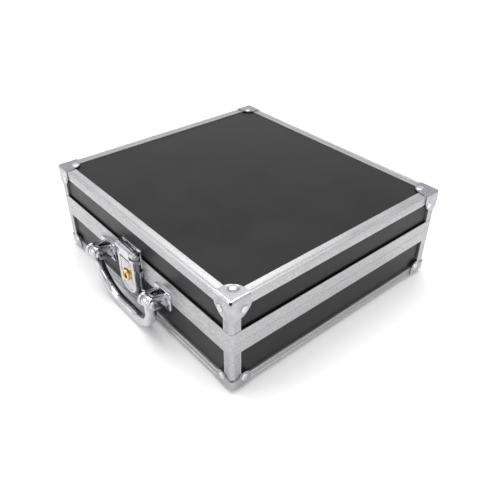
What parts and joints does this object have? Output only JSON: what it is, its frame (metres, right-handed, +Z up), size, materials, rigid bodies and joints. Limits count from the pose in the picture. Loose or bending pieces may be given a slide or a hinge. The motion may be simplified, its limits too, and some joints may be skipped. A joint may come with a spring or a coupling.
{
  "type": "poker chip case",
  "caption": "Black-panelled poker chip case with aluminium edges, riveted corner caps, keyed hasp, hanging bow handle and foam inserts.",
  "frame": {"origin": "on the surface the case stands on, under the middle of the whole outline, handle and hinges included", "axes": "+Z up, -Y towards the front with the hasp and handle, +X towards the right-hand end seen from the front"},
  "size_m": [0.254, 0.2552, 0.089],
  "materials": {
    "black_laminate": "thin board faced with satin black laminate",
    "edge_aluminium": "fine-grained satin anodised",
    "chrome": "polished nickel or chrome plate",
    "rivet_steel": "plated steel",
    "lock_brass": "polished brass",
    "lining_fabric": "black flocked lining",
    "foam": "black closed-cell foam",
    "foot_rubber": "matt black rubber"
  },
  "bodies": {
    "base": {"base_front_panel": "black_laminate", "base_bottom_trim_front": "edge_aluminium", "base_rim_front": "edge_aluminium", "base_right_panel": "black_laminate", "base_bottom_trim_right": "edge_aluminium", "base_rim_right": "edge_aluminium", "base_back_panel": "black_laminate", "base_bottom_trim_back": "edge_aluminium", "base_rim_back": "edge_aluminium", "base_left_panel": "black_laminate", "base_bottom_trim_left": "edge_aluminium", "base_rim_left": "edge_aluminium", "base_bottom_panel": "black_laminate", "base_corner_posts": "edge_aluminium", "base_corner_caps": "chrome", "base_cap_rivets": "rivet_steel", "strike_rivets": "rivet_steel", "bracket_rivets": "rivet_steel", "hinge_lower_rivets": "rivet_steel", "base_lining": "lining_fabric", "chip_rack": "foam", "card_tray": "foam", "hinge_lower_leaves": "chrome", "hinge_pins": "rivet_steel", "handle_brackets": "chrome", "handle_pins": "rivet_steel", "latch_strike": "chrome", "rubber_feet": "foot_rubber", "foot_screws": "rivet_steel"},
    "lid": {"lid_front_panel": "black_laminate", "lid_top_trim_front": "edge_aluminium", "lid_rim_front": "edge_aluminium", "lid_right_panel": "black_laminate", "lid_top_trim_right": "edge_aluminium", "lid_rim_right": "edge_aluminium", "lid_back_panel": "black_laminate", "lid_top_trim_back": "edge_aluminium", "lid_rim_back": "edge_aluminium", "lid_left_panel": "black_laminate", "lid_top_trim_left": "edge_aluminium", "lid_rim_left": "edge_aluminium", "lid_top_panel": "black_laminate", "lid_corner_posts": "edge_aluminium", "lid_corner_caps": "chrome", "lid_cap_rivets": "rivet_steel", "lid_lining": "lining_fabric", "lid_foam_pad": "foam", "keeper_rivets": "rivet_steel", "hinge_upper_rivets": "rivet_steel", "hinge_upper_leaves": "chrome", "latch_keeper": "chrome", "hasp_pin": "rivet_steel"},
    "handle": {"handle_bow": "chrome"},
    "hasp": {"hasp": "chrome", "lock_housing": "lock_brass"},
    "lock_plug": {"lock_plug": "lock_brass", "lock_cam": "rivet_steel"}
  },
  "joints": [
    {"name": "lid_hinge", "type": "hinge", "parent": "base", "child": "lid", "pos_m": [0, 0.1248, 0.048], "axis": [-1, 0, 0], "range_deg": [0, 100]},
    {"name": "handle_swing", "type": "hinge", "parent": "base", "child": "handle", "pos_m": [0, -0.1212, 0.042], "axis": [-1, 0, 0], "range_deg": [0, 110]},
    {"name": "hasp_hinge", "type": "hinge", "parent": "lid", "child": "hasp", "pos_m": [0, -0.1127, 0.063], "axis": [-1, 0, 0], "range_deg": [0, 165]},
    {"name": "lock_turn", "type": "hinge", "parent": "hasp", "child": "lock_plug", "pos_m": [-0.0025, -0.1152, 0.038], "axis": [0, -1, 0], "range_deg": [0, 90]}
  ]
}
